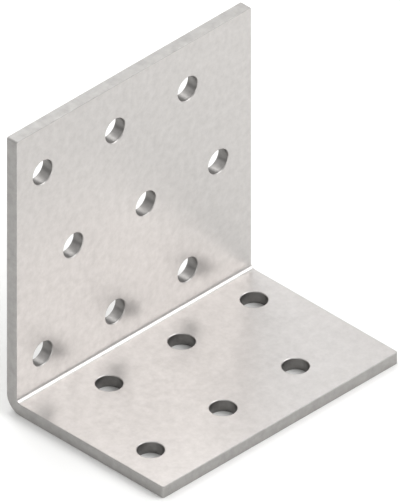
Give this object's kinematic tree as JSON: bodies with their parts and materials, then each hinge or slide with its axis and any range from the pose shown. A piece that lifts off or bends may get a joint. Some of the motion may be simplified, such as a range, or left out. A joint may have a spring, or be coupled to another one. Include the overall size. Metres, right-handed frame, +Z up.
{
  "type": "angle bracket",
  "caption": "Perforated steel plate angle, folded once to a right angle, with a tall and a short leg and staggered rows of nail holes.",
  "frame": {"origin": "on the ground under the middle of the part's box, which the flat leg lies on", "axes": "+Z up along the upright leg, +X from the upright leg towards the flat leg's free end, Y along the fold"},
  "size_m": [0.04, 0.06, 0.06],
  "materials": {
    "galvanised_steel": "galvanised, satin"
  },
  "bodies": {
    "root": {"angle_plate": "galvanised_steel"}
  },
  "joints": []
}
